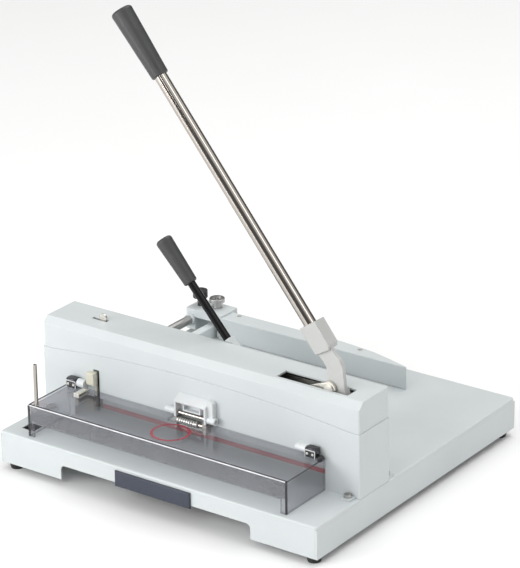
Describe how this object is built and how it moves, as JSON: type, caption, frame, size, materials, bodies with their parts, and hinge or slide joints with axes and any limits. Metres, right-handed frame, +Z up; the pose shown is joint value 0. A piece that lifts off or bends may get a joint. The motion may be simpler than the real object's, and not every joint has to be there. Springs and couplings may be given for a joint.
{
  "type": "manual stack paper cutter",
  "caption": "Manual guillotine for paper stacks: flat table, knife bridge with long cutting lever, clamp lever, sliding back gauge and hinged tinted safety cover.",
  "frame": {"origin": "on the floor under the middle of the footprint", "axes": "+X to the operator's right, +Y away from the operator, +Z up"},
  "size_m": [0.6, 0.556, 0.7433],
  "materials": {
    "aluminium_paint": "machined aluminium",
    "arm_paint": "warm grey enamel, satin",
    "black_gloss": "gloss black enamel",
    "black_plastic": "black moulded plastic",
    "blade_steel": "ground and honed tool steel",
    "blue_plastic": "dark blue-grey moulded plastic",
    "body_paint": "light grey powder coat, fine texture, satin",
    "bronze": "sintered bronze",
    "chrome": "polished nickel-chrome",
    "cream_plastic": "cream moulded plastic",
    "grip_plastic": "charcoal moulded plastic, fine grain",
    "red_plastic": "red polyethylene cutting stick",
    "rubber": "black rubber",
    "smoke_acrylic": "smoke-tinted clear acrylic",
    "steel": "ground steel",
    "white_plastic": "white moulded plastic",
    "zinc": "pale zinc-plated steel"
  },
  "bodies": {
    "bridge_and_table": {"table_plate": "body_paint", "front_skirt": "body_paint", "side_and_rear_skirts": "body_paint", "corner_posts": "body_paint", "table_ribs": "body_paint", "cutting_stick": "red_plastic", "stick_hole_plug": "black_plastic", "rubber_feet": "rubber", "foot_screws": "steel", "drawer_runners": "black_plastic", "left_column": "body_paint", "right_column_cheeks": "body_paint", "lever_pivot_bushes": "bronze", "lever_pivot_shaft": "steel", "front_beam": "steel", "knife_guide_pins": "steel", "knife_guide_rollers": "steel", "clamp_guide_posts": "steel", "top_tie_bar": "steel", "bridge_hood": "body_paint", "bridge_shell": "body_paint", "bridge_rear_cover": "body_paint", "bridge_foot_ears": "body_paint", "bridge_bolts": "steel", "clamp_shaft_bush": "bronze", "left_hinge_block": "white_plastic", "right_hinge_block": "white_plastic", "spring_bracket": "white_plastic", "bracket_rods": "chrome", "cover_spring": "steel", "side_guide": "body_paint", "guide_rod": "steel", "guide_rod_bracket": "body_paint"},
    "cutting_lever": {"lever_arm": "arm_paint", "lever_rod": "chrome", "lever_grip": "grip_plastic", "link_pin": "zinc"},
    "link": {"drive_link": "zinc"},
    "knife": {"knife_carrier": "zinc", "carrier_pin": "steel", "cutting_blade": "blade_steel", "blade_bolts": "steel"},
    "clamp_lever": {"clamp_shaft": "steel", "clamp_pinion": "steel", "clamp_lever_arm": "body_paint", "clamp_lever_rod": "black_gloss", "clamp_lever_grip": "grip_plastic"},
    "clamp": {"clamp_beam": "aluminium_paint", "clamp_rack": "steel"},
    "cover": {"safety_cover": "smoke_acrylic", "cover_lift_rod": "chrome", "interlock_arm": "zinc"},
    "interlock": {"interlock_slider": "cream_plastic"},
    "gauge": {"back_gauge": "body_paint", "gauge_screws": "zinc", "gauge_carriage": "body_paint"},
    "gauge_lock_knob": {"lock_knob": "black_plastic"},
    "gauge_scale_dial": {"gauge_dial": "steel"},
    "drawer": {"drawer_front": "blue_plastic", "drawer_tray": "black_plastic"}
  },
  "joints": [
    {"name": "cutting_lever_hinge", "type": "hinge", "parent": "bridge_and_table", "child": "cutting_lever", "pos_m": [0.255, -0.1305, 0.1245], "axis": [0, -1, 0], "range_deg": [0, 31]},
    {"name": "knife_slide", "type": "slide", "parent": "bridge_and_table", "child": "knife", "axis": [-0.6428, 0, -0.766], "range_m": [0, 0.057]},
    {"name": "link_hinge", "type": "hinge", "parent": "cutting_lever", "child": "link", "pos_m": [0.2308, -0.1394, 0.2181], "axis": [0, 1, 0], "range_deg": [0, 20]},
    {"name": "clamp_lever_hinge", "type": "hinge", "parent": "bridge_and_table", "child": "clamp_lever", "pos_m": [0.0515, -0.074, 0.1551], "axis": [0, 1, 0], "range_deg": [0, 99]},
    {"name": "clamp_slide", "type": "slide", "parent": "bridge_and_table", "child": "clamp", "axis": [0, 0, -1], "range_m": [0, 0.0418]},
    {"name": "cover_hinge", "type": "hinge", "parent": "bridge_and_table", "child": "cover", "pos_m": [-0.0045, -0.1715, 0.1275], "axis": [-1, 0, 0], "range_deg": [0, 72]},
    {"name": "interlock_slide", "type": "slide", "parent": "bridge_and_table", "child": "interlock", "axis": [0, 0, -1], "range_m": [0, 0.012]},
    {"name": "back_gauge_slide", "type": "slide", "parent": "bridge_and_table", "child": "gauge", "axis": [0, -1, 0], "range_m": [0, 0.26]},
    {"name": "lock_knob_turn", "type": "hinge", "parent": "gauge", "child": "gauge_lock_knob", "pos_m": [-0.283, 0.226, 0.1245], "axis": [0, 0, 1], "range_deg": [-180, 0]},
    {"name": "scale_dial_turn", "type": "hinge", "parent": "gauge", "child": "gauge_scale_dial", "pos_m": [-0.254, 0.234, 0.1145], "axis": [0, 0, 1], "continuous": true},
    {"name": "tool_drawer_slide", "type": "slide", "parent": "bridge_and_table", "child": "drawer", "axis": [0, -1, 0], "range_m": [0, 0.15]}
  ],
  "couplings": [
    {"joint": "knife_slide", "follows": "cutting_lever_hinge", "m_per_rad": 0.10525},
    {"joint": "link_hinge", "follows": "cutting_lever_hinge", "ratio": 0.579},
    {"joint": "clamp_slide", "follows": "clamp_lever_hinge", "m_per_rad": 0.024},
    {"joint": "interlock_slide", "follows": "cover_hinge", "m_per_rad": 0.009529}
  ]
}
